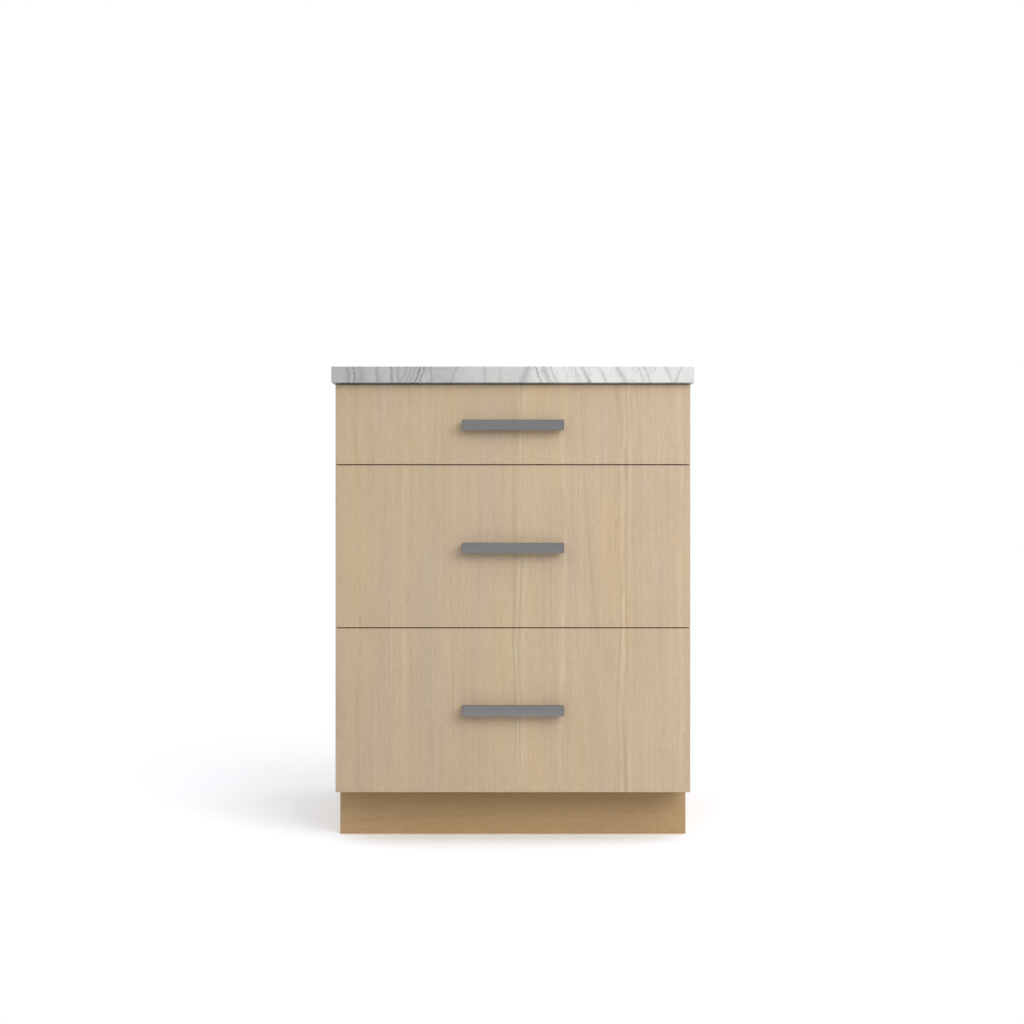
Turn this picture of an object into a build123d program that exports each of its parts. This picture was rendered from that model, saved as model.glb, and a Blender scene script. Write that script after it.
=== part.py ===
"""Base cabinet with three drawers, in millimetres.

The front faces -Y, +X is to the right of someone facing it, and +Z is up. The origin is on the
floor, at the centre of the footprint. Heights and depths are worked out from the sizes below.
"""

from build123d import *
import os
from math import radians, tan

# ---------------------------------------------------------------- driving dimensions
# Carcass
cabinet_width = 686.0
carcass_depth = 594.0
carcass_height = 787.0
panel_thickness = 18.0
back_thickness = 6.0
back_groove_depth = 8.0
stretcher_width = 100.0
back_rail_height = 100.0
housing_depth = 9.0

# Toe kick
kick_height = 100.0
kick_recess = 76.0
kick_thickness = 12.0

# Worktop
worktop_thickness = 31.0
worktop_front_overhang = 19.0
worktop_side_overhang = 4.5
worktop_corner_radius = 1.6
worktop_eased_edge = 1.0

# Drawer fronts
front_thickness = 19.0
bottom_front_height = 315.5
middle_front_height = 312.0
front_gap = 2.0
front_top_reveal = 2.0
front_side_reveal = 1.5
front_eased_edge = 0.5

# Bumpers between the side panels and the drawer fronts
bumper_gap = 2.0
bumper_size = 9.0
bumper_inset = 14.0

# Drawer boxes
box_board = 13.0
deep_box_height = 230.0
top_box_clearance = 23.0
box_lift = 14.5
floor_clearance = 8.0
box_bottom_thickness = 6.0
box_bottom_rise = 12.0
box_groove_depth = 6.0

# Dovetails, at the four corners of each box
tail_pitch = 33.0
pin_width = 12.0
dovetail_angle = 8.0

# Telescopic slides: three nested steel channels on each side of a drawer
slide_width = 12.7
slide_rise = 50.0
slide_setback = 3.0
slide_rear_clearance = 17.0
rail_steel = 1.2
rail_lip = 1.6
rail_bend_radius = 1.5
cabinet_rail_height = 45.6
middle_rail_height = 34.0
drawer_rail_height = 22.8
middle_rail_inset = 3.0
nesting_gap = 1.5
retainer_web = 0.6
retainer_length = 240.0

# Pulls
pull_length = 195.0
pull_height = 20.0
pull_projection = 28.0
pull_bar = 10.0
pull_leg_width = 10.0
pull_leg_height = 12.0
pull_corner_radius = 3.0
pull_finger_radius = 4.0
top_pull_drop = 79.0
middle_pull_drop = 158.5
bottom_pull_drop = 155.5

# Fasteners
pull_screw_radius = 2.0
pull_screw_grip = 9.0
screw_head_radius = 4.5
screw_head_height = 2.5
wall_hole_radius = 3.0
wall_hole_spacing = 406.0

# Clearances
glue_gap = 0.1
groove_clearance = 0.3
hole_clearance = 0.05
running_clearance = 0.3
hole_end_clearance = 0.5

# ---------------------------------------------------------------- places worked out
overall_depth = pull_projection + front_thickness + bumper_gap + carcass_depth
rear_y = overall_depth / 2
carcass_front_y = rear_y - carcass_depth
front_back_y = carcass_front_y - bumper_gap
front_face_y = front_back_y - front_thickness
back_rear_y = rear_y - panel_thickness
back_front_y = back_rear_y - back_thickness
kick_back_y = carcass_front_y + kick_recess + kick_thickness
slide_y = (carcass_front_y + slide_setback, back_front_y - slide_rear_clearance)
box_y = (front_back_y, slide_y[1])

carcass_top_z = kick_height + carcass_height
bottom_front_z = (kick_height, kick_height + bottom_front_height)
middle_front_z = (bottom_front_z[1] + front_gap, bottom_front_z[1] + front_gap + middle_front_height)
top_front_z = (middle_front_z[1] + front_gap, carcass_top_z - front_top_reveal)

outer_x = cabinet_width / 2
inner_x = outer_x - panel_thickness
front_half_width = outer_x - front_side_reveal
box_half_width = inner_x - slide_width
box_inner_half_width = box_half_width - box_board
pull_leg_x = (pull_length - pull_leg_width) / 2

os.makedirs("parts", exist_ok=True)


# ---------------------------------------------------------------- shared helpers
def save(piece, name):
    """Label a finished piece and write it."""
    piece.label = name
    export_step(piece, f"parts/{name}.step")


def block(x, y, z, mode=Mode.ADD):
    """A rectangular block between three pairs of faces."""
    with Locations((sum(x) / 2, sum(y) / 2, sum(z) / 2)):
        Box(x[1] - x[0], y[1] - y[0], z[1] - z[0], mode=mode)


def rectangle(across, up, mode=Mode.ADD):
    """A rectangle between two pairs of edges, in the plane of the current sketch."""
    with Locations((sum(across) / 2, sum(up) / 2)):
        Rectangle(abs(across[1] - across[0]), abs(up[1] - up[0]), mode=mode)


def facing_front(y):
    """The upright plane at y whose normal points at -Y, with +X and +Z as its axes."""
    return Plane.XZ.offset(-y)


def facing_back(y):
    """The upright plane at y whose normal points at +Y, with -X and +Z as its axes."""
    return Plane((0, y, 0), x_dir=(-1, 0, 0), z_dir=(0, 1, 0))


def mirrored(points):
    """Points with their mirror images across the second axis."""
    return [(sign * across, up) for sign in (-1, 1) for across, up in points]


def drill(plane, points, radius, depth):
    """Round holes into the current part, from a plane and against its normal."""
    with BuildSketch(plane) as holes:
        with Locations(*points):
            Circle(radius)
    extrude(holes.sketch, amount=-depth, mode=Mode.SUBTRACT)


# ---------------------------------------------------------------- carcass
floor_y = (carcass_front_y, back_front_y)
floor_z = (kick_height, kick_height + panel_thickness)
stretcher_z = (carcass_top_z - panel_thickness, carcass_top_z)
front_stretcher_y = (carcass_front_y, carcass_front_y + stretcher_width)
rear_stretcher_y = (back_front_y - stretcher_width, back_front_y)
back_rail_y = (back_rear_y, rear_y)
wall_rail_z = (carcass_top_z - back_rail_height, carcass_top_z)
lower_rail_z = (kick_height, kick_height + back_rail_height)
housings = (
    (floor_y, floor_z),
    (front_stretcher_y, stretcher_z),
    (rear_stretcher_y, stretcher_z),
    (back_rail_y, wall_rail_z),
    (back_rail_y, lower_rail_z),
)


def side_panel(side):
    """An upright panel, notched for the toe kick, housed for the boards and grooved for the back."""
    with BuildPart() as panel:
        thickness = sorted((side * outer_x, side * inner_x))
        block(thickness, (carcass_front_y, rear_y), (0, carcass_top_z))
        block(thickness, (carcass_front_y, kick_back_y), (0, kick_height), mode=Mode.SUBTRACT)
        housing = sorted((side * inner_x, side * (inner_x + housing_depth)))
        for y, z in housings:
            block(housing, y, z, mode=Mode.SUBTRACT)
        groove = sorted((side * inner_x, side * (inner_x + back_groove_depth)))
        block(groove, (back_front_y, back_rear_y), (kick_height, carcass_top_z), mode=Mode.SUBTRACT)
    return panel.part


def housed_board(y, z):
    """A board whose ends sit in housings in both side panels."""
    half_width = inner_x + housing_depth - glue_gap
    block((-half_width, half_width), y, z)


for side, hand in ((-1, "left"), (1, "right")):
    save(side_panel(side), f"side_panel_{hand}")

with BuildPart() as bottom_panel:
    housed_board(floor_y, floor_z)
save(bottom_panel.part, "bottom_panel")

with BuildPart() as front_stretcher:
    housed_board(front_stretcher_y, stretcher_z)
save(front_stretcher.part, "front_stretcher")

with BuildPart() as rear_stretcher:
    housed_board(rear_stretcher_y, stretcher_z)
save(rear_stretcher.part, "rear_stretcher")

with BuildPart() as lower_rail:
    housed_board(back_rail_y, lower_rail_z)
save(lower_rail.part, "lower_rail")

wall_hole_points = mirrored([(wall_hole_spacing / 2, sum(wall_rail_z) / 2)])

with BuildPart() as wall_rail:
    housed_board(back_rail_y, wall_rail_z)
    drill(facing_back(rear_y), wall_hole_points, wall_hole_radius, panel_thickness)
save(wall_rail.part, "wall_rail")

with BuildPart() as back_panel:
    back_half_width = inner_x + back_groove_depth - groove_clearance
    block((-back_half_width, back_half_width), (back_front_y, back_rear_y), (kick_height, carcass_top_z))
    drill(facing_back(back_rear_y), wall_hole_points, wall_hole_radius, back_thickness)
save(back_panel.part, "back_panel")

with BuildPart() as toe_kick:
    block((-outer_x, outer_x), (kick_back_y - kick_thickness, kick_back_y), (0, kick_height))
save(toe_kick.part, "toe_kick")

# ---------------------------------------------------------------- worktop
worktop_half_width = outer_x + worktop_side_overhang
worktop_front_y = front_face_y - worktop_front_overhang

with BuildPart() as worktop:
    block(
        (-worktop_half_width, worktop_half_width),
        (worktop_front_y, rear_y),
        (carcass_top_z, carcass_top_z + worktop_thickness),
    )
    front_corners = worktop.edges().filter_by(Axis.Z).group_by(Axis.Y)[0]
    fillet(front_corners, worktop_corner_radius)
    top_and_bottom = worktop.faces().filter_by(Axis.Z).edges()
    chamfer(top_and_bottom - worktop.faces().sort_by(Axis.Y)[-1].edges(), worktop_eased_edge)
save(worktop.part, "worktop")


# ---------------------------------------------------------------- what differs between the drawers
class Drawer:
    """One drawer's heights, from those of its front and its box."""

    def __init__(self, name, front_z, box_z, pull_drop):
        self.name = name
        self.front_z = front_z
        self.box_z = box_z
        self.pull_z = front_z[1] - pull_drop
        self.slide_z = box_z[0] + slide_rise

    def pull_screw_points(self):
        """The places (x, z) of the pull's two screws."""
        return mirrored([(pull_leg_x, self.pull_z)])


bottom_box_z = floor_z[1] + floor_clearance
middle_box_z = middle_front_z[0] + box_lift
top_box_z = (top_front_z[0] + box_lift, stretcher_z[0] - top_box_clearance)

drawers = (
    Drawer("bottom", bottom_front_z, (bottom_box_z, bottom_box_z + deep_box_height), bottom_pull_drop),
    Drawer("middle", middle_front_z, (middle_box_z, middle_box_z + deep_box_height), middle_pull_drop),
    Drawer("top", top_front_z, top_box_z, top_pull_drop),
)

# ---------------------------------------------------------------- bumpers the drawer fronts close on
with BuildPart() as front_bumpers:
    bumper_y = (front_back_y + running_clearance, carcass_front_y)
    for drawer in drawers:
        for bumper_z in (drawer.front_z[0] + bumper_inset, drawer.front_z[1] - bumper_inset):
            for side in (-1, 1):
                bumper_x = side * (outer_x - panel_thickness / 2)
                block(
                    (bumper_x - bumper_size / 2, bumper_x + bumper_size / 2),
                    bumper_y,
                    (bumper_z - bumper_size / 2, bumper_z + bumper_size / 2),
                )
save(front_bumpers.part, "front_bumpers")


# ---------------------------------------------------------------- slides
def from_panel(side, distance):
    """The x of a face a given distance in from a side panel's inner face."""
    return side * (inner_x - distance)


def between(side, near, far):
    """The x of two faces given by their distances from a side panel."""
    return (from_panel(side, near), from_panel(side, far))


def level_band(centre, height):
    """The heights of the lower and upper edge of a band."""
    return (centre - height / 2, centre + height / 2)


def channel(side, web, mouth, height, level, lip):
    """A steel channel along Y, with its web and its mouth given as distances from the side panel."""
    inward = 1 if mouth > web else -1
    hollow_web = web + inward * rail_steel
    hollow_mouth = mouth - inward * rail_steel
    bore = height - 2 * rail_steel
    with BuildPart() as rail:
        with BuildSketch(facing_front(slide_y[0])) as section:
            rectangle(between(side, web, mouth), level_band(level, height))
            web_side = -1 if side * inward > 0 else 0
            fillet(section.vertices().group_by(Axis.X)[web_side], rail_bend_radius)
            rectangle(between(side, hollow_web, hollow_mouth), level_band(level, bore), mode=Mode.SUBTRACT)
            rectangle(
                between(side, hollow_mouth, mouth), level_band(level, bore - 2 * lip), mode=Mode.SUBTRACT
            )
        extrude(amount=slide_y[0] - slide_y[1])
    return rail.part


def ball_retainer(side, web, tip, outer_bore, inner_height, level, y):
    """A strip between two nested channels, with a thick ear that fills each of their two races."""
    race = (outer_bore - inner_height) / 2
    with BuildPart() as retainer:
        with BuildSketch(facing_front(y[0])):
            rectangle(between(side, web, web + retainer_web), level_band(level, inner_height + race))
            for up in (-1, 1):
                ear_level = level + up * (inner_height + race) / 2
                ear_height = race - 2 * running_clearance
                rectangle(between(side, web, tip), level_band(ear_level, ear_height))
        extrude(amount=y[0] - y[1])
    return retainer.part


cabinet_rail_mouth = slide_width - 2 * nesting_gap
middle_rail_mouth = slide_width - nesting_gap
drawer_rail_mouth = middle_rail_inset + rail_steel + nesting_gap
outer_retainer_web = (rail_steel + middle_rail_inset - retainer_web) / 2
outer_retainer_tip = cabinet_rail_mouth - rail_steel - running_clearance
inner_retainer_web = middle_rail_inset + rail_steel + running_clearance
inner_retainer_tip = middle_rail_mouth - rail_steel
outer_retainer_y = (slide_y[1] - retainer_length, slide_y[1])
inner_retainer_y = (slide_y[0], slide_y[0] + retainer_length)
cabinet_rail_bore = cabinet_rail_height - 2 * rail_steel
middle_rail_bore = middle_rail_height - 2 * rail_steel

for drawer in drawers:
    level = drawer.slide_z
    for side, hand in ((-1, "left"), (1, "right")):
        cabinet_rail = channel(side, 0, cabinet_rail_mouth, cabinet_rail_height, level, rail_lip)
        save(cabinet_rail, f"{drawer.name}_cabinet_rail_{hand}")
        middle_rail = channel(side, middle_rail_inset, middle_rail_mouth, middle_rail_height, level, 0)
        save(middle_rail, f"{drawer.name}_middle_rail_{hand}")
        drawer_rail = channel(side, slide_width, drawer_rail_mouth, drawer_rail_height, level, 0)
        save(drawer_rail, f"{drawer.name}_drawer_rail_{hand}")

    with BuildPart() as ball_retainers:
        for side in (-1, 1):
            add(
                ball_retainer(
                    side,
                    outer_retainer_web,
                    outer_retainer_tip,
                    cabinet_rail_bore,
                    middle_rail_height,
                    level,
                    outer_retainer_y,
                )
            )
            add(
                ball_retainer(
                    side,
                    inner_retainer_web,
                    inner_retainer_tip,
                    middle_rail_bore,
                    drawer_rail_height,
                    level,
                    inner_retainer_y,
                )
            )
    save(ball_retainers.part, f"{drawer.name}_ball_retainers")


# ---------------------------------------------------------------- drawer boxes
def pin_heights(box_z):
    """The middle of every dovetail pin up a corner, with a half pin at each end."""
    height = box_z[1] - box_z[0]
    tails = max(1, round(height / tail_pitch))
    return [box_z[0] + height * index / tails for index in range(tails + 1)]


def pin_outlines(box_z, corner_y, base_y, clearance):
    """The pins in side view: narrow at the outer face of the box and wide at their base."""
    taper = box_board * tan(radians(dovetail_angle))
    wide = pin_width / 2 - clearance
    narrow = wide - taper
    for middle in pin_heights(box_z):
        base = (max(middle - wide, box_z[0]), min(middle + wide, box_z[1]))
        end = (max(middle - narrow, box_z[0]), min(middle + narrow, box_z[1]))
        Polygon((corner_y, end[0]), (base_y, base[0]), (base_y, base[1]), (corner_y, end[1]), align=None)


def drawer_bottom(drawer, clearance, mode=Mode.ADD):
    """The board in a drawer's bottom, or with a clearance the groove that holds it."""
    reach = box_groove_depth - groove_clearance + clearance
    half_width = box_inner_half_width + reach
    underside = drawer.box_z[0] + box_bottom_rise
    block(
        (-half_width, half_width),
        (box_y[0] + box_board - reach, box_y[1] - box_board + reach),
        (underside, underside + box_bottom_thickness),
        mode=mode,
    )


def box_side(side, drawer):
    """A drawer box side, with dovetail tails at both ends and a groove for the bottom."""
    faces = sorted((side * box_inner_half_width, side * box_half_width))
    with BuildPart() as board:
        block(faces, box_y, drawer.box_z)
        with BuildSketch(Plane.YZ.offset(faces[0])):
            pin_outlines(drawer.box_z, box_y[0], box_y[0] + box_board, 0)
            pin_outlines(drawer.box_z, box_y[1], box_y[1] - box_board, 0)
        extrude(amount=box_board, mode=Mode.SUBTRACT)
        drawer_bottom(drawer, groove_clearance, mode=Mode.SUBTRACT)
    return board.part


def box_end(drawer, corner_y, base_y):
    """The front or back board of a drawer box, with dovetail pins and a groove for the bottom."""
    with BuildPart() as board:
        block((-box_inner_half_width, box_inner_half_width), sorted((corner_y, base_y)), drawer.box_z)
        with BuildSketch(Plane.YZ.offset(-box_half_width)):
            pin_outlines(drawer.box_z, corner_y, base_y, glue_gap)
        extrude(amount=2 * box_half_width)
        drawer_bottom(drawer, groove_clearance, mode=Mode.SUBTRACT)
    return board


# ---------------------------------------------------------------- drawers
pull_screw_length = box_board + front_thickness + pull_screw_grip
pull_hole_radius = pull_screw_radius + hole_clearance

for drawer in drawers:
    name = drawer.name

    with BuildPart() as drawer_front:
        block((-front_half_width, front_half_width), (front_face_y, front_back_y), drawer.front_z)
        chamfer(drawer_front.faces().sort_by(Axis.Y)[0].edges(), front_eased_edge)
        drill(facing_back(front_back_y), drawer.pull_screw_points(), pull_hole_radius, front_thickness)
    save(drawer_front.part, f"{name}_drawer_front")

    inside = facing_back(box_y[0] + box_board)
    box_front = box_end(drawer, box_y[0], box_y[0] + box_board)
    with box_front:
        drill(inside, drawer.pull_screw_points(), pull_hole_radius, box_board)
    save(box_front.part, f"{name}_box_front")

    box_back = box_end(drawer, box_y[1], box_y[1] - box_board)
    save(box_back.part, f"{name}_box_back")

    for side, hand in ((-1, "left"), (1, "right")):
        save(box_side(side, drawer), f"{name}_box_side_{hand}")

    with BuildPart() as box_bottom:
        drawer_bottom(drawer, 0)
    save(box_bottom.part, f"{name}_box_bottom")

    with BuildPart() as pull:
        bar_y = (front_face_y - pull_projection, front_face_y - pull_projection + pull_bar)
        bar_z = (drawer.pull_z - pull_height / 2, drawer.pull_z + pull_height / 2)
        block((-pull_length / 2, pull_length / 2), bar_y, bar_z)
        fillet(pull.edges().filter_by(Axis.Z).group_by(Axis.Y)[0], pull_corner_radius)
        for leg_x in (-pull_leg_x, pull_leg_x):
            block(
                (leg_x - pull_leg_width / 2, leg_x + pull_leg_width / 2),
                (bar_y[1], front_face_y),
                (drawer.pull_z - pull_leg_height / 2, drawer.pull_z + pull_leg_height / 2),
            )
        leg_insides = pull.edges().filter_by(Axis.Z).filter_by_position(Axis.X, -pull_leg_x, pull_leg_x)
        fillet(leg_insides.group_by(Axis.Y)[0], pull_finger_radius)
        drill(
            facing_back(front_face_y),
            drawer.pull_screw_points(),
            pull_hole_radius,
            pull_screw_grip + hole_end_clearance,
        )
    save(pull.part, f"{name}_pull")

    with BuildPart() as pull_screws:
        with Locations(inside):
            with Locations(*drawer.pull_screw_points()):
                Cylinder(screw_head_radius, screw_head_height, align=(Align.CENTER, Align.CENTER, Align.MIN))
                Cylinder(pull_screw_radius, pull_screw_length, align=(Align.CENTER, Align.CENTER, Align.MAX))
    save(pull_screws.part, f"{name}_pull_screws")
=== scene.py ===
import bmesh
import bpy
import math
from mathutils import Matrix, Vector


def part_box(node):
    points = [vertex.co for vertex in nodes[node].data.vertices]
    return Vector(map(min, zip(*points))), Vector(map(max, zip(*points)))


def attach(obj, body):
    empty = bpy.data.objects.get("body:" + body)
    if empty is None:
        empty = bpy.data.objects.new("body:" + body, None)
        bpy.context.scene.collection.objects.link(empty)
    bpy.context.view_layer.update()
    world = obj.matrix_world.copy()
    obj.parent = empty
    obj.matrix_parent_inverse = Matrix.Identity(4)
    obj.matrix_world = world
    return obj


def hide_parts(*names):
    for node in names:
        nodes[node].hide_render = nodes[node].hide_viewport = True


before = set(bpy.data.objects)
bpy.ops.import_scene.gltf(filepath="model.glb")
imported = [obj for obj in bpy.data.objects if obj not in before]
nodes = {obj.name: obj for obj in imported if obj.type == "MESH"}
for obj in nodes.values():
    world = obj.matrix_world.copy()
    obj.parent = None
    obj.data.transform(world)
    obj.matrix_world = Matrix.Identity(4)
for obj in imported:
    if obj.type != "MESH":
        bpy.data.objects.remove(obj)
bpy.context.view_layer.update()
sides = ("left", "right")
drawers = ("bottom", "middle", "top")

# The photographer's camera: level, on the cabinet's centre line, three metres in front of the
# drawer fronts and a little above the middle drawer's pull.
camera_distance, camera_height, camera_aside = 3.0, 0.6396, -0.0017
front_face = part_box("middle_drawer_front")[0].y
bpy.ops.object.camera_add(
    location=(camera_aside, front_face - camera_distance, camera_height), rotation=(math.pi / 2, 0, 0)
)
camera = bpy.context.object
camera.data.lens = 54.79
camera.data.sensor_width = 36.0
camera.data.clip_end = 60.0
bpy.context.scene.camera = camera

# The studio: one broad soft lamp in front and to the right, and a white surround that gives most
# of the light, and more from the front. Glossy surfaces mirror the surround and not the lamp.
bpy.context.scene.view_settings.view_transform = "Standard"


def soft_lamp(name, place, aim, width, height, power):
    """A rectangular lamp that faces a point."""
    bpy.ops.object.light_add(type="AREA", location=place)
    lamp = bpy.context.object
    lamp.name = name
    lamp.data.shape = "RECTANGLE"
    lamp.data.size = width
    lamp.data.size_y = height
    lamp.data.energy = power
    lamp.visible_glossy = False
    lamp.rotation_euler = (Vector(aim) - Vector(place)).to_track_quat("-Z", "Y").to_euler()


soft_lamp("key_lamp", place=(1.7, -3.0, 1.9), aim=(0, 0, 0.5), width=2.4, height=1.6, power=54)


def seen_directly(tree):
    """1 for camera, mirror and glass rays, and 0 for the light that falls on a surface."""
    rays = tree.nodes.new("ShaderNodeLightPath")
    kinds = [rays.outputs[f"Is {kind} Ray"] for kind in ("Camera", "Glossy", "Transmission")]
    either = kinds[0]
    for kind in kinds[1:]:
        most = tree.nodes.new("ShaderNodeMath")
        most.operation = "MAXIMUM"
        tree.links.new(either, most.inputs[0])
        tree.links.new(kind, most.inputs[1])
        either = most.outputs[0]
    return either


world = bpy.data.worlds.new("white_surround")
world.use_nodes = True
bpy.context.scene.world = world
tree = world.node_tree
tree.nodes.clear()
ambient = tree.nodes.new("ShaderNodeBackground")
ambient.inputs["Color"].default_value = (1.0, 0.995, 0.99, 1)
toward = tree.nodes.new("ShaderNodeSeparateXYZ")
tree.links.new(tree.nodes.new("ShaderNodeTexCoord").outputs["Generated"], toward.inputs[0])
strength_in_front, strength_behind = 0.98, 0.60
strength = tree.nodes.new("ShaderNodeMapRange")
strength.inputs["From Min"].default_value = -1.0
strength.inputs["To Min"].default_value = strength_in_front
strength.inputs["To Max"].default_value = strength_behind
tree.links.new(toward.outputs["Y"], strength.inputs["Value"])
tree.links.new(strength.outputs[0], ambient.inputs["Strength"])
shown = tree.nodes.new("ShaderNodeBackground")
shown.inputs["Color"].default_value = (1, 1, 1, 1)
shown.inputs["Strength"].default_value = 1.0
either = tree.nodes.new("ShaderNodeMixShader")
tree.links.new(seen_directly(tree), either.inputs[0])
tree.links.new(ambient.outputs[0], either.inputs[1])
tree.links.new(shown.outputs[0], either.inputs[2])
surface = tree.nodes.new("ShaderNodeOutputWorld")
tree.links.new(either.outputs[0], surface.inputs["Surface"])

# The studio floor: a large sheet of white board that takes the cabinet's soft shadow. Seen by
# the camera it is brighter than it is as a source of light, and turns plain white further out.
bpy.ops.mesh.primitive_plane_add(size=40, location=(0, 0, 0))
floor = bpy.context.object
floor.name = "studio_floor"
board = bpy.data.materials.new("studio_white")
board.use_nodes = True
tree = board.node_tree
seen = seen_directly(tree)
board_as_light, board_as_seen = (0.52, 0.52, 0.52, 1), (1.24, 1.275, 1.33, 1)
tone = tree.nodes.new("ShaderNodeMix")
tone.data_type = "RGBA"
tone.inputs["A"].default_value = board_as_light
tone.inputs["B"].default_value = board_as_seen
tree.links.new(seen, tone.inputs["Factor"])
diffuse = tree.nodes.new("ShaderNodeBsdfDiffuse")
tree.links.new(tone.outputs["Result"], diffuse.inputs["Color"])
coordinates = tree.nodes.new("ShaderNodeTexCoord")
away = tree.nodes.new("ShaderNodeVectorMath")
away.operation = "LENGTH"
tree.links.new(coordinates.outputs["Object"], away.inputs[0])
shadow_reach, plain_white_from = 0.68, 1.5
fade = tree.nodes.new("ShaderNodeMapRange")
fade.interpolation_type = "SMOOTHSTEP"
fade.inputs["From Min"].default_value = shadow_reach
fade.inputs["From Max"].default_value = plain_white_from
tree.links.new(away.outputs["Value"], fade.inputs["Value"])
far = tree.nodes.new("ShaderNodeMath")
far.operation = "MULTIPLY"
tree.links.new(fade.outputs[0], far.inputs[0])
tree.links.new(seen, far.inputs[1])
white = tree.nodes.new("ShaderNodeEmission")
either = tree.nodes.new("ShaderNodeMixShader")
tree.links.new(far.outputs[0], either.inputs[0])
tree.links.new(diffuse.outputs[0], either.inputs[1])
tree.links.new(white.outputs[0], either.inputs[2])
tree.links.new(either.outputs[0], tree.nodes["Material Output"].inputs["Surface"])
floor.data.materials.append(board)


# The side panels: birch plywood faced with pale oak veneer, its grain upright, and edged with
# a strip of the same. The panels are notched at the foot for the toe kick.
class Finish:
    """A new surface finish, with short ways to add and join its shader nodes."""

    def __init__(self, name, **sockets):
        self.material = bpy.data.materials.new(name)
        self.material.use_nodes = True
        self.tree = self.material.node_tree
        self.shader = self.tree.nodes["Principled BSDF"]
        for socket, value in sockets.items():
            self.shader.inputs[socket.replace("_", " ")].default_value = value
        self.place = self.tree.nodes.new("ShaderNodeTexCoord").outputs["Object"]

    def join(self, source, socket):
        """Feeds a socket from another socket, or sets it to a plain value."""
        if isinstance(source, bpy.types.NodeSocket):
            self.tree.links.new(source, socket)
        else:
            socket.default_value = source

    def stretched(self, scale, shift=(0, 0, 0)):
        """The place on the object, with each axis multiplied by a scale."""
        mapping = self.tree.nodes.new("ShaderNodeMapping")
        mapping.inputs["Scale"].default_value = scale
        mapping.inputs["Location"].default_value = shift
        self.tree.links.new(self.place, mapping.inputs["Vector"])
        return mapping.outputs[0]

    def drawn_out(self, along, squeeze, shift=0.0):
        """The place on the object, squeezed along one axis so that marks run out along it."""
        scale = [1.0, 1.0, 1.0]
        scale[along] = squeeze
        return self.stretched(scale, (shift, shift, shift))

    def noise(self, where, scale, detail=3.0, roughness=0.5, distortion=0.0):
        """Soft random mottling between 0 and 1."""
        texture = self.tree.nodes.new("ShaderNodeTexNoise")
        self.tree.links.new(where, texture.inputs["Vector"])
        texture.inputs["Scale"].default_value = scale
        texture.inputs["Detail"].default_value = detail
        texture.inputs["Roughness"].default_value = roughness
        texture.inputs["Distortion"].default_value = distortion
        return texture.outputs["Fac"]

    def axes(self):
        """The three parts of the place on the object."""
        split = self.tree.nodes.new("ShaderNodeSeparateXYZ")
        self.tree.links.new(self.place, split.inputs[0])
        return split.outputs

    def sum(self, operation, first, second=0.0, third=0.0):
        """One step of arithmetic."""
        step = self.tree.nodes.new("ShaderNodeMath")
        step.operation = operation
        for source, socket in zip((first, second, third), step.inputs):
            self.join(source, socket)
        return step.outputs[0]

    def spread(self, source, low, high, to_low=0.0, to_high=1.0):
        """Stretches a range of values over another, with its ends held."""
        node = self.tree.nodes.new("ShaderNodeMapRange")
        self.join(source, node.inputs["Value"])
        ends = {"From Min": low, "From Max": high, "To Min": to_low, "To Max": to_high}
        for socket, value in ends.items():
            node.inputs[socket].default_value = value
        return node.outputs[0]

    def blend(self, amount, first, second, mode="MIX"):
        """A mix of two colours."""
        node = self.tree.nodes.new("ShaderNodeMix")
        node.data_type = "RGBA"
        node.blend_type = mode
        self.join(amount, node.inputs["Factor"])
        self.join(first, node.inputs["A"])
        self.join(second, node.inputs["B"])
        return node.outputs["Result"]

    def facing(self, axis):
        """How squarely the surface faces along an axis of the object, from 0 to 1."""
        split = self.tree.nodes.new("ShaderNodeSeparateXYZ")
        coordinates = self.tree.nodes.new("ShaderNodeTexCoord")
        self.tree.links.new(coordinates.outputs["Normal"], split.inputs[0])
        return self.sum("ABSOLUTE", split.outputs[axis])

    def raised(self, height, depth):
        """A fine relief in the surface, in metres."""
        bump = self.tree.nodes.new("ShaderNodeBump")
        bump.inputs["Distance"].default_value = depth
        self.join(height, bump.inputs["Height"])
        self.tree.links.new(bump.outputs[0], self.shader.inputs["Normal"])


def colour(red, green, blue):
    """A colour as it is read off a screen, from 0 to 255, made linear for the shader."""
    parts = [value / 255 for value in (red, green, blue)]
    return (*[p / 12.92 if p <= 0.04045 else ((p + 0.055) / 1.055) ** 2.4 for p in parts], 1)


def dress(finish, *names):
    """Gives CAD nodes their finish."""
    for name in names:
        mesh = nodes[name].data
        mesh.materials.clear()
        mesh.materials.append(finish.material)


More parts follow.
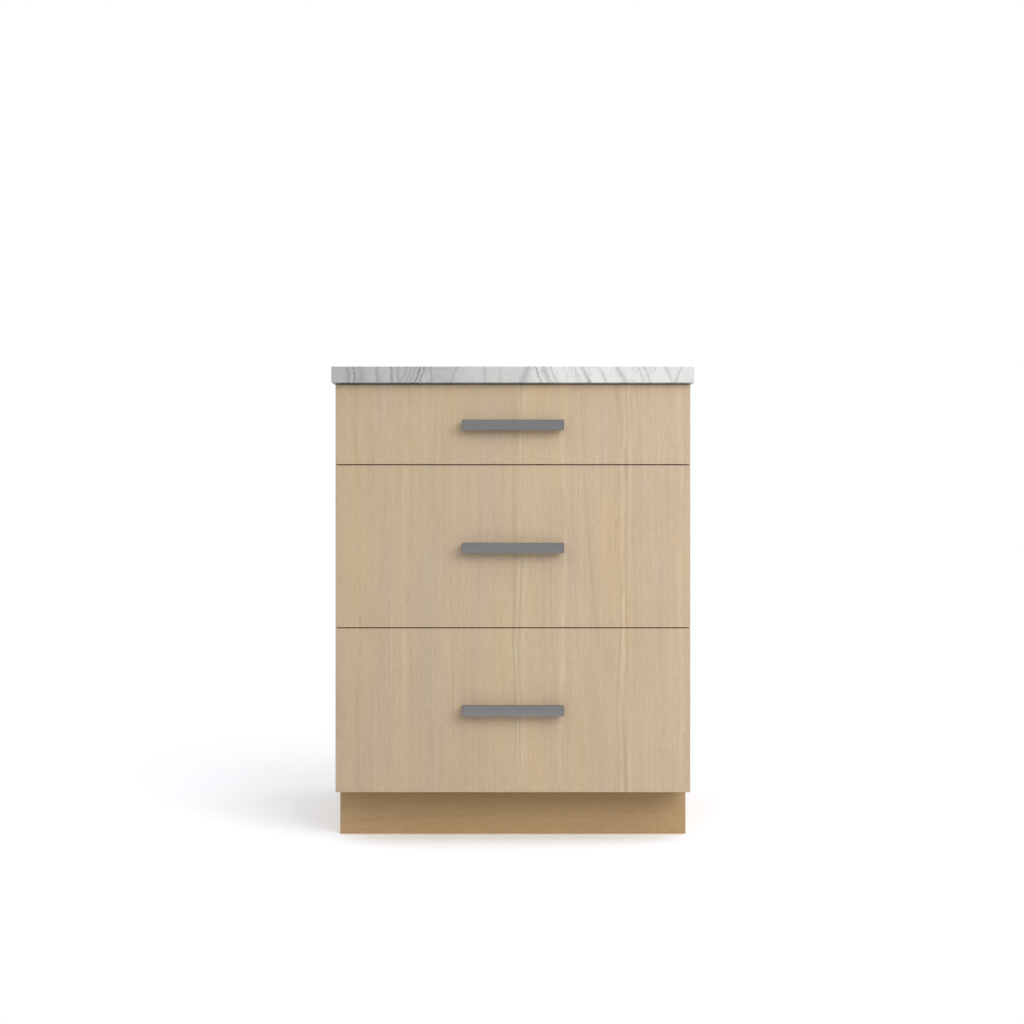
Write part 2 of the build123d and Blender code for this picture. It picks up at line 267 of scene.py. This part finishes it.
def oak(name, along, tones, streaks=(), painted_left_shade=0.0):
    """Pale oak veneer under matt lacquer, with its grain along one axis, and painted shading that darkens
    it towards the left end when asked.
    """
    finish = Finish(name, Roughness=0.52, Specular_IOR_Level=0.32)
    warm, pink, dark = [colour(*tone) for tone in tones]

    def grain(squeeze, scale, detail=2.0, shift=0.0):
        """Mottling drawn out along the grain, less so for a squeeze nearer to 1."""
        return finish.noise(finish.drawn_out(along, squeeze, shift), scale, detail, 0.55, 0.2)

    patches = finish.sum("MULTIPLY", grain(0.12, 28.0, 3.0), 0.5)
    patches = finish.sum("MULTIPLY_ADD", grain(0.25, 11.0, 1.0, 7.0), 0.5, patches)
    tint = finish.blend(finish.spread(patches, 0.38, 0.62), warm, pink)
    layers = (
        (0.30, 16.0, 0.12), (0.035, 46.0, 0.10), (0.02, 230.0, 0.17), (0.08, 560.0, 0.17),
        (0.50, 420.0, 0.22),
    )
    value = 1.0 - 0.5 * sum(amount for squeeze, scale, amount in layers)
    for squeeze, scale, amount in layers:
        value = finish.sum("MULTIPLY_ADD", grain(squeeze, scale), amount, value)
    # Painted shading: the tone darkens towards the left end, by up to the given amount, standing in for
    # light that falls from the right.
    if painted_left_shade:
        value = finish.sum("ADD", value, finish.spread(finish.axes()["X"], -0.34, 0.16, -painted_left_shade, 0.0))
    rings = finish.sum("PINGPONG", finish.sum("MULTIPLY", grain(0.045, 5.0, 1.0, 3.0), 16.0), 0.5)
    ring_lines = finish.spread(rings, 0.10, 0.0, 0.0, 0.26)
    ring_lines = finish.sum("MULTIPLY", ring_lines, finish.spread(grain(0.25, 9.0, 2.0, 5.0), 0.44, 0.62))
    tint = finish.blend(ring_lines, tint, dark)
    pores = finish.spread(grain(0.04, 900.0), 0.58, 0.74, 0.0, 0.38)
    tint = finish.blend(pores, tint, dark)
    flat = finish.sum("SUBTRACT", 1.0, finish.facing("Z"))
    for centre, width, strength, tone in streaks:
        wander = finish.sum("MULTIPLY_ADD", grain(0.6, 6.0, 3.0, centre * 2.0), 0.034, -0.017 - centre)
        off = finish.sum("ABSOLUTE", finish.sum("ADD", finish.axes()["X"], wander))
        amount = finish.spread(off, width, width * 0.2, 0.0, strength)
        broken = finish.spread(grain(0.3, 26.0, 3.0, centre), 0.38, 0.60, 0.05, 1.0)
        amount = finish.sum("MULTIPLY", finish.sum("MULTIPLY", amount, broken), flat)
        tint = finish.blend(amount, tint, colour(*tone))
    finish.join(finish.blend(1.0, tint, value, "MULTIPLY"), finish.shader.inputs["Base Color"])
    finish.raised(finish.sum("SUBTRACT", grain(0.02, 230.0), pores), 0.00010)
    return finish


late, early, grey = (166, 141, 112), (214, 196, 171), (189, 178, 151)
upright_oak = oak(
    "oak_upright",
    2,
    ((198, 176, 144), (195, 174, 150), late),
    (
        (-0.297, 0.0060, 0.20, late), (-0.205, 0.0090, 0.25, early), (-0.159, 0.0130, 0.55, grey),
        (0.014, 0.0150, 0.45, grey), (0.005, 0.0020, 0.32, late), (0.011, 0.0042, 0.40, early),
        (0.016, 0.0018, 0.36, late), (0.023, 0.0045, 0.34, early), (0.096, 0.0070, 0.40, early),
        (0.207, 0.0020, 0.42, late), (0.213, 0.0042, 0.50, early), (0.219, 0.0020, 0.36, late),
        (0.226, 0.0050, 0.42, early), (0.322, 0.0070, 0.28, early),
    ),
    # Painted shading: up to this much darker towards the left end, for light that falls from the right.
    0.075,
)
dress(upright_oak, "side_panel_left", "side_panel_right")


# The boards inside the carcass: birch plywood with a clear lacquer. Its plies show as fine dark
# and light stripes on the cut edges.
def plywood(name, along, through, low, high):
    """Birch plywood with face grain along one axis and its plies stacked along another."""
    ply, face_veneer, squeeze = 0.0014, 0.00035, 0.06
    finish = Finish(name, Roughness=0.45, Specular_IOR_Level=0.35)
    flame = finish.noise(finish.drawn_out(along, squeeze), 34.0, 5.0, 0.6, 0.4)
    fine = finish.noise(finish.drawn_out(along, squeeze), 420.0, 3.0, 0.6)
    face = finish.blend(finish.spread(flame, 0.30, 0.72), colour(224, 204, 172), colour(213, 189, 154))
    rings = finish.sum("MULTIPLY", finish.noise(finish.drawn_out(along, squeeze, 3.0), 6.0, 2.0), 15.0)
    rings = finish.spread(finish.sum("PINGPONG", rings, 0.5), 0.16, 0.0, 0.0, 0.30)
    face = finish.blend(rings, face, colour(196, 166, 128))
    face = finish.blend(finish.spread(fine, 0.5, 0.75, 0.0, 0.35), face, colour(190, 160, 122))
    depth = finish.axes()[through]
    plies = finish.sum("FRACT", finish.sum("MULTIPLY", finish.sum("SUBTRACT", depth, low), 0.5 / ply))
    core = finish.spread(finish.sum("PINGPONG", plies, 0.5), 0.18, 0.32)
    cut = finish.blend(core, colour(176, 142, 102), colour(222, 198, 162))
    cut = finish.blend(finish.spread(fine, 0.45, 0.75, 0.0, 0.4), cut, colour(150, 116, 80))
    below, above = finish.sum("SUBTRACT", depth, low), finish.sum("SUBTRACT", high, depth)
    edge = finish.sum("GREATER_THAN", finish.sum("MINIMUM", below, above), face_veneer)
    finish.join(finish.blend(edge, face, cut), finish.shader.inputs["Base Color"])
    finish.raised(fine, 0.00008)
    return finish


def dress_plywood(name, along, through):
    """Gives one board its own plywood, with the plies in its thickness."""
    thickness = "XYZ".index(through)
    low, high = [corner[thickness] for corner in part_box(name)]
    dress(plywood(f"plywood_{name}", "XYZ".index(along), thickness, low, high), name)


for name in ("bottom_panel", "front_stretcher", "rear_stretcher"):
    dress_plywood(name, "X", "Z")
for name in ("wall_rail", "lower_rail"):
    dress_plywood(name, "X", "Y")
dress_plywood("back_panel", "Z", "Y")

# The toe kick: one board across the whole width, faced with the same oak with its grain level,
# and fixed to the notches in the side panels.
level_oak = oak(
    "oak_level",
    0,
    ((187, 157, 111), (188, 158, 118), (146, 115, 74)),
)
dress(level_oak, "toe_kick")


# The worktop: one slab of honed white marble with eased edges. Grey clouds and thin veins lie
# steeply across it and run right through the slab, closer and darker towards its left end.
def marble(name):
    """White marble with veins that cross the front edge, 363 steps long, and run on through the slab."""
    steps, overrun = 363, 2.0
    finish = Finish(name, Roughness=0.46, Specular_IOR_Level=0.28)
    low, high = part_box("worktop")
    across = finish.axes()["X"]
    up = finish.sum("SUBTRACT", finish.axes()["Z"], (low.z + high.z) / 2)
    back = finish.sum("SUBTRACT", finish.axes()["Y"], low.y)
    sway = finish.sum("SUBTRACT", finish.noise(finish.place, 2.2, 2.0), 0.5)
    waver = finish.sum("SUBTRACT", finish.noise(finish.place, 42.0, 3.0, 0.6), 0.5)
    crackle = finish.sum("SUBTRACT", finish.noise(finish.place, 170.0, 3.0, 0.7), 0.5)
    drift = finish.sum("MULTIPLY", back, finish.sum("MULTIPLY_ADD", sway, 0.55, 0.42))
    inward = finish.spread(back, 0.01, 0.12)
    broken = finish.spread(finish.noise(finish.place, 7.0, 3.0, 0.6), 0.38, 0.58, 0.85, 0.0)
    lasting = finish.sum("SUBTRACT", 1.0, finish.sum("MULTIPLY", inward, broken))

    def crossing(lean, wander):
        """How far along the slab a vein with this lean passes, from 0 at the left to 1."""
        place = finish.sum("MULTIPLY_ADD", up, lean, across)
        place = finish.sum("MULTIPLY_ADD", waver, wander, place)
        place = finish.sum("MULTIPLY_ADD", crackle, 0.008, place)
        place = finish.sum("ADD", place, drift)
        turns = finish.spread(place, low.x, high.x + overrun, 0.0, 1.0 + overrun / (high.x - low.x))
        return finish.sum("PINGPONG", turns, 1.0)

    def ramp(source, stops):
        """A brightness for each place along the slab."""
        node = finish.tree.nodes.new("ShaderNodeValToRGB")
        finish.join(source, node.inputs[0])
        stops = sorted(stops)
        while len(node.color_ramp.elements) < len(stops):
            node.color_ramp.elements.new(1.0)
        for (place, level), element in zip(stops, node.color_ramp.elements):
            element.position = place
            element.color = (level, level, level, 1)
        return node.outputs[0]

    def veins(lean, wander, lines):
        """Veins of one lean: each a place along the slab and a half width in steps, and a depth."""
        stops = []
        for place, half_width, depth in lines:
            ends = ((place - half_width, 0.0), (place, depth), (place + half_width, 0.0))
            stops += [(step / steps, level) for step, level in ends]
        return ramp(crossing(lean, wander), stops)

    ground = ramp(crossing(0.2, 0.02), [
        (0.00, 0.24), (0.05, 0.20), (0.11, 0.29), (0.16, 0.34), (0.21, 0.29), (0.26, 0.33), (0.31, 0.30),
        (0.38, 0.52), (0.47, 0.62), (0.52, 0.60), (0.56, 0.80), (0.62, 0.96), (0.72, 1.0), (0.86, 0.99),
        (1.0, 0.92),
    ])
    cloud = finish.noise(finish.stretched((1.0, 1.0, 0.4)), 24.0, 5.0, 0.6, 0.6)
    ground = finish.sum("MULTIPLY_ADD", finish.sum("SUBTRACT", cloud, 0.5), 0.34, ground)
    tint = finish.blend(finish.spread(ground, 0.0, 1.0), colour(161, 160, 161), colour(221, 221, 220))
    for lean, wander, strength, lines in (
        (0.10, 0.008, 0.95, (
            (17, 1.7, 0.60), (22.5, 1.2, 1.00), (30, 6.0, 0.34), (46, 2.2, 0.60), (60.5, 1.5, 1.00),
            (67, 1.7, 0.65), (100, 1.2, 0.70), (153.5, 1.3, 0.65), (169, 2.6, 0.25),
        )),
        (-0.38, 0.010, 0.92, (
            (73, 1.3, 0.75), (77.5, 1.2, 0.80), (82, 1.3, 0.70), (86.5, 1.6, 1.00), (91, 1.2, 0.80),
            (122, 1.3, 0.45), (194, 5.5, 0.50), (347, 1.3, 0.65),
        )),
        (0.46, 0.012, 0.85, (
            (207, 1.2, 0.85), (215, 4.5, 0.50), (222, 1.4, 0.65), (246, 1.2, 0.65), (254, 3.2, 0.60),
            (271, 3.0, 0.25), (290, 4.5, 0.60), (309, 1.8, 0.35), (316, 2.2, 0.35), (337, 1.5, 0.65),
        )),
    ):
        patchy = finish.spread(cloud, 0.25, 0.62, 0.55, 1.0)
        amount = finish.sum("MULTIPLY", veins(lean, wander, lines), patchy)
        amount = finish.sum("MULTIPLY", amount, lasting)
        tint = finish.blend(finish.sum("MULTIPLY", amount, strength), tint, colour(104, 100, 103))
    threads = finish.noise(finish.stretched((1.0, 0.55, 0.30)), 13.0, 4.0, 0.6, 0.5)
    threads = finish.sum("PINGPONG", finish.sum("MULTIPLY", threads, 4.0), 0.5)
    threads = finish.spread(threads, 0.05, 0.0, 0.0, 0.30)
    threads = finish.sum("MULTIPLY", threads, finish.spread(cloud, 0.45, 0.64))
    tint = finish.blend(threads, tint, colour(124, 120, 122))
    hairs = finish.noise(finish.stretched((1.0, 1.0, 0.30)), 30.0, 4.0, 0.6, 0.8)
    hairs = finish.sum("PINGPONG", finish.sum("MULTIPLY", hairs, 9.0), 0.5)
    hairs = finish.spread(hairs, 0.09, 0.0, 0.0, 0.46)
    hairs = finish.sum("MULTIPLY", hairs, finish.spread(cloud, 0.40, 0.60))
    hairs = finish.sum("MULTIPLY", hairs, finish.spread(inward, 0.0, 1.0, 1.0, 0.12))
    tint = finish.blend(hairs, tint, colour(110, 106, 108))
    finish.join(tint, finish.shader.inputs["Base Color"])
    finish.join(finish.spread(cloud, 0.3, 0.8, 0.42, 0.50), finish.shader.inputs["Roughness"])
    return finish


dress(marble("marble"), "worktop")


# The worktop's screws: zinc-plated steel, driven up through both stretchers into plugs in the
# stone. Each has a domed head with a cross recess pressed into it.
def zinc():
    """Bright zinc plate, with the faint cloudy drawing marks of rolled strip."""
    finish = Finish("zinc_plate", Metallic=1.0, Roughness=0.32)
    drawn = finish.noise(finish.stretched((1.0, 0.02, 1.0)), 300.0, 3.0, 0.6)
    cloudy = finish.noise(finish.place, 24.0, 3.0, 0.6)
    tint = finish.blend(cloudy, colour(186, 190, 196), colour(214, 216, 218))
    finish.join(tint, finish.shader.inputs["Base Color"])
    finish.join(finish.spread(drawn, 0.3, 0.7, 0.24, 0.42), finish.shader.inputs["Roughness"])
    finish.raised(drawn, 0.00004)
    return finish


def only(piece):
    """Selects one object and nothing else."""
    bpy.ops.object.select_all(action="DESELECT")
    piece.select_set(True)
    bpy.context.view_layer.objects.active = piece


def pick(kind, wanted):
    """Selects, in edit mode, the corners, edges or faces whose middle and direction pass a test."""
    bpy.ops.mesh.select_mode(type=kind)
    bpy.ops.mesh.select_all(action="DESELECT")
    shaping = bmesh.from_edit_mesh(bpy.context.object.data)
    if kind == "VERT":
        found = [corner for corner in shaping.verts if wanted(corner.co, corner.normal)]
    elif kind == "EDGE":
        found = [
            edge for edge in shaping.edges
            if wanted((edge.verts[0].co + edge.verts[1].co) / 2, edge.verts[1].co - edge.verts[0].co)
        ]
    else:
        found = [face for face in shaping.faces if wanted(face.calc_center_median(), face.normal)]
    for element in found:
        element.select_set(True)
    bmesh.update_edit_mesh(bpy.context.object.data)


def cross_screw(radius, height, rounding, taper, shank, length):
    """A screw along Y: its head in front of the plane y = 0, and its shank and point behind it."""
    bpy.ops.object.select_all(action="DESELECT")
    bpy.ops.mesh.primitive_cylinder_add(
        vertices=32, radius=radius, depth=height, location=(0, height / 2, 0),
        rotation=(-math.pi / 2, 0, 0),
    )
    bpy.ops.object.transform_apply(location=True, rotation=True, scale=True)
    bpy.ops.object.mode_set(mode="EDIT")
    pick("FACE", lambda middle, normal: normal.y < -0.9)
    for step, width in ((taper, shank / radius), (length - taper - 2 * shank, 1.0), (2 * shank, 0.15)):
        bpy.ops.mesh.extrude_region_move(TRANSFORM_OT_translate={"value": (0, -step, 0)})
        bpy.ops.transform.resize(value=(width, 1, width), center_override=(0, 0, 0))
    pick("EDGE", lambda middle, along: middle.y > height - 1e-6)
    bpy.ops.mesh.bevel(offset=rounding, segments=4, profile=0.5)
    pick("FACE", lambda middle, normal: middle.y > height - 1e-6)
    rim = (radius - rounding) * 0.86
    recess_depth = 0.55 * height + 0.4 * taper
    bpy.ops.mesh.inset(thickness=radius - rounding - rim)
    # The corners of the inset face are drawn in by turns, until it has the outline of a cross.
    for step, factor in ((1, 0.98), (2, 0.56), (3, 0.38), (4, 0.31)):
        angles = [(side + turn * step) * math.pi / 16 for side in (0, 8, 16, 24) for turn in (-1, 1)]
        places = [Vector((rim * math.cos(angle), height, rim * math.sin(angle))) for angle in angles]
        pick("VERT", lambda corner, normal: any((corner - place).length < rim * 0.04 for place in places))
        bpy.ops.transform.resize(value=(factor, 1, factor), center_override=(0, height, 0))
    pick("FACE", lambda middle, normal: (middle - Vector((0, height, 0))).length < rim * 0.05)
    bpy.ops.mesh.extrude_region_move(TRANSFORM_OT_translate={"value": (0, -recess_depth, 0)})
    bpy.ops.transform.resize(value=(0.6, 1, 0.6), center_override=(0, height, 0))
    bpy.ops.object.mode_set(mode="OBJECT")
    return bpy.context.object


def placed(shape, place, turn=(0, 0, 0), mirrored=False):
    """A copy of a finished shape with its own mesh, mirrored from right to left or turned and moved."""
    only(shape)
    bpy.ops.object.duplicate()
    twin = bpy.context.object
    twin.location, twin.rotation_euler = place, turn
    if mirrored:
        twin.scale.x = -1
    bpy.ops.object.transform_apply(location=True, rotation=True, scale=True)
    if mirrored:
        bpy.ops.object.mode_set(mode="EDIT")
        bpy.ops.mesh.select_all(action="SELECT")
        bpy.ops.mesh.normals_make_consistent(inside=False)
        bpy.ops.object.mode_set(mode="OBJECT")
    return twin


def joined(parts):
    """Several shapes made into one piece."""
    only(parts[0])
    for part in parts:
        part.select_set(True)
    bpy.ops.object.join()
    return bpy.context.object


def complete(piece, name, finish, body, slot, *stood_for):
    """Gives a finished piece its name, its finish and the body that it rides on, and hides the parts that
    it stands for. The slot is not used.
    """
    piece.name = name
    piece.data.materials.clear()
    piece.data.materials.append(finish.material)
    only(piece)
    bpy.ops.object.shade_smooth_by_angle(angle=math.radians(32))
    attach(piece, body)
    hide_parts(*stood_for)


zinc_plate = zinc()
wood_screw = cross_screw(
    radius=0.0045, height=0.0025, rounding=0.0017, taper=0.0, shank=0.0021, length=0.028
)
screws = []
for stretcher in ("front_stretcher", "rear_stretcher"):
    low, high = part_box(stretcher)
    for x in (-0.25, 0.0, 0.25):
        screws.append(placed(wood_screw, (x, (low.y + high.y) / 2, low.z), (-math.pi / 2, 0, 0)))
complete(joined(screws), "worktop_screws", zinc_plate, "carcass", "screw_steel")


# The slides: three nested channels of bright zinc-plated strip on each side of a drawer, rolled
# to shape and punched with screw holes and slots. The outer ones are screwed to the side panels.
def solid_copy(node):
    """A copy of a solid to work on further, with its loose triangles merged into whole faces."""
    piece = bpy.data.objects.new(f"{node}_blank", nodes[node].data.copy())
    bpy.context.collection.objects.link(piece)
    only(piece)
    bpy.ops.mesh.customdata_custom_splitnormals_clear()
    bpy.ops.object.mode_set(mode="EDIT")
    bpy.ops.mesh.select_all(action="SELECT")
    bpy.ops.mesh.remove_doubles(threshold=1e-6)
    bpy.ops.mesh.dissolve_limited(angle_limit=math.radians(1))
    bpy.ops.object.mode_set(mode="OBJECT")
    return piece


def cut_away(piece, cutters):
    """Cuts shapes out of a piece and throws them away."""
    cutter = joined(cutters)
    only(piece)
    cut = piece.modifiers.new("cut", "BOOLEAN")
    cut.solver = "EXACT"
    cut.object = cutter
    bpy.ops.object.modifier_apply(modifier="cut")
    bpy.data.objects.remove(cutter)


def punched(rail, web, level, openings):
    """Punches round-ended slots through a rail's web: each a place along it, a width and a length."""
    cutters = []
    for y, width, length in openings:
        bpy.ops.object.select_all(action="DESELECT")
        bpy.ops.mesh.primitive_cylinder_add(
            vertices=24, radius=width / 2, depth=0.004, location=(web, y, level),
            rotation=(0, math.pi / 2, 0),
        )
        bpy.ops.object.transform_apply(location=True, rotation=True, scale=True)
        bpy.ops.object.mode_set(mode="EDIT")
        for way in (-1, 1):
            pick("VERT", lambda corner, normal: (corner.y - y) * way > 1e-6)
            bpy.ops.transform.translate(value=(0, way * (length - width) / 2, 0))
        bpy.ops.object.mode_set(mode="OBJECT")
        cutters.append(bpy.context.object)
    cut_away(rail, cutters)


panel_thickness = 0.018
panel_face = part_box("side_panel_right")[1].x - panel_thickness
low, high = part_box("middle_cabinet_rail_right")
rail_level, rail_front = (low.z + high.z) / 2, low.y
screw_distances = (0.037, 0.229, 0.485)


def openings_at(distances, width, length):
    """Openings of one size, each at a distance from a rail's front end."""
    return [(rail_front + distance, width, length) for distance in distances]


members = {
    "cabinet_rail": ("carcass", 0.0006, openings_at(screw_distances, 0.0074, 0.0074)
                     + openings_at((0.062, 0.101, 0.261, 0.325, 0.389, 0.453, 0.517), 0.0046, 0.011)),
    "middle_rail": ("slides", 0.0036, openings_at((0.045, 0.231, 0.482), 0.010, 0.026)
                    + openings_at((0.016, 0.128, 0.372, 0.534), 0.005, 0.005)),
    "drawer_rail": ("drawer", 0.0121,
                    openings_at((0.021, 0.081, 0.165, 0.293, 0.357, 0.421, 0.529), 0.0048, 0.0098)),
}
for member, (body, web_middle, openings) in members.items():
    blank = solid_copy(f"middle_{member}_right")
    punched(blank, panel_face - web_middle, rail_level, openings)
    for drawer in drawers:
        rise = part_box(f"{drawer}_{member}_right")[0].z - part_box(f"middle_{member}_right")[0].z
        for side in sides:
            complete(
                placed(blank, (0, 0, rise), mirrored=side == "left"),
                f"{drawer}_{member}_{side}_punched",
                zinc_plate,
                body if body == "carcass" else f"{drawer}_{body}",
                "slide_steel",
                f"{drawer}_{member}_{side}",
            )
    bpy.data.objects.remove(blank)

sunk_screw = cross_screw(
    radius=0.0036, height=0.0003, rounding=0.0001, taper=0.0019, shank=0.0019, length=0.014
)
rail_screw = cross_screw(
    radius=0.0034, height=0.0019, rounding=0.0013, taper=0.0, shank=0.0018, length=0.012
)
for drawer in drawers:
    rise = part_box(f"{drawer}_cabinet_rail_right")[0].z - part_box("middle_cabinet_rail_right")[0].z
    for body, shape, seat, turn, where in (
        ("carcass", sunk_screw, 0.0010, math.pi / 2, "panel"),
        (f"{drawer}_drawer", rail_screw, 0.0115, -math.pi / 2, "box"),
    ):
        screws = [
            placed(shape, (hand * (panel_face - seat), rail_front + distance, rail_level + rise),
                   (0, 0, hand * turn))
            for distance in screw_distances for hand in (-1, 1)
        ]
        complete(joined(screws), f"{drawer}_slide_{where}_screws", zinc_plate, body, "screw_steel")
bpy.data.objects.remove(sunk_screw)
bpy.data.objects.remove(rail_screw)

# The ball retainers: strips of moulded grey plastic between the rails, with pockets along both
# edges. A row of hard steel balls runs in each edge, between a rail and the next one inside it.
def mottled(name, scale, first, second, **sockets):
    """A plain finish whose tone varies finely between two colours."""
    finish = Finish(name, **sockets)
    amount = finish.noise(finish.place, scale, 2.0)
    finish.join(finish.blend(amount, colour(*first), colour(*second)), finish.shader.inputs["Base Color"])
    return finish


retainer_plastic = mottled("retainer_plastic", 900.0, (196, 198, 200), (212, 213, 214), Roughness=0.5)
ball_steel = mottled("ball_steel", 700.0, (196, 197, 199), (222, 223, 224), Metallic=1.0, Roughness=0.16)


def row(add, pitch, count):
    """A shape from a primitive, repeated in a row towards the back."""
    bpy.ops.object.select_all(action="DESELECT")
    add()
    shape = bpy.context.object
    bpy.ops.object.transform_apply(location=True, rotation=True, scale=True)
    line = shape.modifiers.new("row", "ARRAY")
    line.use_relative_offset = False
    line.use_constant_offset = True
    line.constant_offset_displace = (0, pitch, 0)
    line.count = count
    bpy.ops.object.modifier_apply(modifier="row")
    return shape


strips = solid_copy("middle_ball_retainers")
retainer_low, retainer_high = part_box("middle_ball_retainers")
retainer_length, ball_pitch, ball_count, ball_clearance = 0.240, 0.012, 19, 0.0001
pockets, balls = [], []
for start, depth, rise, radius in (
    (retainer_high.y - retainer_length, 0.0052, 0.0193, 0.00225),
    (retainer_low.y, 0.0074, 0.0136, 0.00215),
):
    first = (0, start + ball_pitch, 0)
    hole = row(lambda: bpy.ops.mesh.primitive_cylinder_add(
        vertices=16, radius=radius + ball_clearance, depth=0.006, location=first), ball_pitch, ball_count)
    sphere = row(lambda: bpy.ops.mesh.primitive_uv_sphere_add(
        segments=8, ring_count=6, radius=radius, location=first), ball_pitch, ball_count)
    for hand in (-1, 1):
        for way in (-1, 1):
            place = (hand * (panel_face - depth), 0, rail_level + way * rise)
            pockets.append(placed(hole, place))
            balls.append(placed(sphere, place))
    bpy.data.objects.remove(hole)
    bpy.data.objects.remove(sphere)
cut_away(strips, pockets)
balls = joined(balls)
for drawer in drawers:
    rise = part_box(f"{drawer}_ball_retainers")[0].z - retainer_low.z
    complete(placed(strips, (0, 0, rise)), f"{drawer}_ball_strips", retainer_plastic, f"{drawer}_slides",
             "retainer_plastic", f"{drawer}_ball_retainers")
    complete(placed(balls, (0, 0, rise)), f"{drawer}_slide_balls", ball_steel, f"{drawer}_slides",
             "slide_steel")
bpy.data.objects.remove(strips)
bpy.data.objects.remove(balls)


# The drawer boxes: solid maple boards, dovetailed at the corners, with a thin plywood bottom in
# a groove. The ends of the tails and pins show end grain.
def maple(name, along):
    """Clear-lacquered maple with its grain along one axis and end grain across it."""
    squeeze = 0.05
    finish = Finish(name, Roughness=0.40, Specular_IOR_Level=0.4)
    figure = finish.noise(finish.drawn_out(along, squeeze), 22.0, 4.0, 0.55, 0.6)
    fine = finish.noise(finish.drawn_out(along, squeeze), 480.0, 3.0, 0.6)
    flat = finish.blend(finish.spread(figure, 0.34, 0.66), colour(233, 212, 178), colour(220, 193, 154))
    flat = finish.blend(finish.spread(fine, 0.5, 0.8, 0.0, 0.35), flat, colour(198, 166, 126))
    rings = finish.noise(finish.place, 300.0, 2.0, 0.5, 0.4)
    pores = finish.noise(finish.place, 1800.0, 2.0)
    end = finish.blend(finish.spread(rings, 0.35, 0.65), colour(203, 172, 132), colour(184, 150, 110))
    end = finish.blend(finish.spread(pores, 0.55, 0.7, 0.0, 0.4), end, colour(156, 120, 84))
    tint = finish.blend(finish.spread(finish.facing(along), 0.5, 0.7), flat, end)
    finish.join(tint, finish.shader.inputs["Base Color"])
    finish.raised(fine, 0.00006)
    return finish


maple_across, maple_deep = maple("maple_across", 0), maple("maple_deep", 1)
for drawer in drawers:
    dress(maple_across, f"{drawer}_box_front", f"{drawer}_box_back")
    dress(maple_deep, *[f"{drawer}_box_side_{side}" for side in sides])
    dress_plywood(f"{drawer}_box_bottom", "Y", "Z")

# The drawer fronts: slabs faced with the same upright oak veneer, cut in line from one sheet so
# that the grain runs on from drawer to drawer. Four screws from inside the box hold each one.
dress(upright_oak, *[f"{drawer}_drawer_front" for drawer in drawers])
for drawer in drawers:
    low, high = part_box(f"{drawer}_box_front")
    above_bottom, below_top = (0.030, 0.018) if drawer == "top" else (0.045, 0.045)
    levels = (low.z + above_bottom, high.z - below_top)
    screws = [placed(wood_screw, (x, high.y, z)) for x in (-0.215, 0.215) for z in levels]
    complete(joined(screws), f"{drawer}_front_screws", zinc_plate, f"{drawer}_drawer", "screw_steel")
bpy.data.objects.remove(wood_screw)


# The pulls: flat bars of satin nickel on two short legs, brushed along their length, with eased
# edges, and held by a screw into each leg from inside the drawer.
def satin_nickel():
    """Satin nickel with fine brush lines along the bar."""
    finish = Finish("satin_nickel", Metallic=1.0, Roughness=0.44)
    brushed = finish.noise(finish.stretched((0.012, 1.0, 1.0)), 2600.0, 2.0, 0.5)
    handled = finish.noise(finish.place, 30.0, 2.0)
    tint = finish.blend(finish.spread(brushed, 0.3, 0.7), colour(124, 124, 124), colour(132, 132, 132))
    finish.join(tint, finish.shader.inputs["Base Color"])
    finish.join(finish.spread(handled, 0.3, 0.7, 0.41, 0.47), finish.shader.inputs["Roughness"])
    finish.raised(brushed, 0.00003)
    return finish


nickel = satin_nickel()
bar = solid_copy("middle_pull")
eased = bar.modifiers.new("eased", "BEVEL")
eased.width = 0.0005
eased.segments = 2
eased.limit_method = "ANGLE"
eased.angle_limit = math.radians(35)
bpy.ops.object.modifier_apply(modifier="eased")
head_radius = 0.0045
pull_screw = cross_screw(
    radius=head_radius, height=0.0025, rounding=0.0017, taper=0.0, shank=0.00195, length=0.041
)
screw_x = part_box("middle_pull_screws")[1].x - head_radius
for drawer in drawers:
    low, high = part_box(f"{drawer}_pull")
    level = (low.z + high.z) / 2
    complete(
        placed(bar, (0, 0, low.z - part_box("middle_pull")[0].z)),
        f"{drawer}_bar_pull", nickel, f"{drawer}_drawer", "pull_metal", f"{drawer}_pull",
    )
    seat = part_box(f"{drawer}_box_front")[1].y
    screws = [placed(pull_screw, (hand * screw_x, seat, level)) for hand in (-1, 1)]
    complete(joined(screws), f"{drawer}_bar_screws", zinc_plate, f"{drawer}_drawer", "screw_steel",
             f"{drawer}_pull_screws")
bpy.data.objects.remove(bar)
bpy.data.objects.remove(pull_screw)

# The bumpers: small domed pads of soft clear rubber, stuck to the front edges of the side panels,
# which the drawer fronts close against. Each front meets four of them.
soft_rubber = mottled("bumper_rubber", 400.0, (206, 204, 198), (222, 220, 214), Roughness=0.35)
bpy.ops.object.select_all(action="DESELECT")
front_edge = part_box("side_panel_right")[0].y
pad_depth, pad_inset, pad_x = 0.0017, 0.014, 0.334
bpy.ops.mesh.primitive_cylinder_add(
    vertices=32, radius=0.0045, depth=pad_depth, location=(0, front_edge - pad_depth / 2, 0),
    rotation=(math.pi / 2, 0, 0),
)
pad = bpy.context.object
bpy.ops.object.transform_apply(location=True, rotation=True, scale=True)
bpy.ops.object.mode_set(mode="EDIT")
pick("EDGE", lambda middle, along: middle.y < front_edge - pad_depth * 0.99)
bpy.ops.mesh.bevel(offset=0.0014, segments=5, profile=0.5)
bpy.ops.object.mode_set(mode="OBJECT")
pads = []
for drawer in drawers:
    low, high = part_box(f"{drawer}_drawer_front")
    for z in (low.z + pad_inset, high.z - pad_inset):
        pads += [placed(pad, (x, 0, z)) for x in (-pad_x, pad_x)]
bpy.data.objects.remove(pad)
complete(joined(pads), "bumper_pads", soft_rubber, "carcass", "bumper_rubber", "front_bumpers")
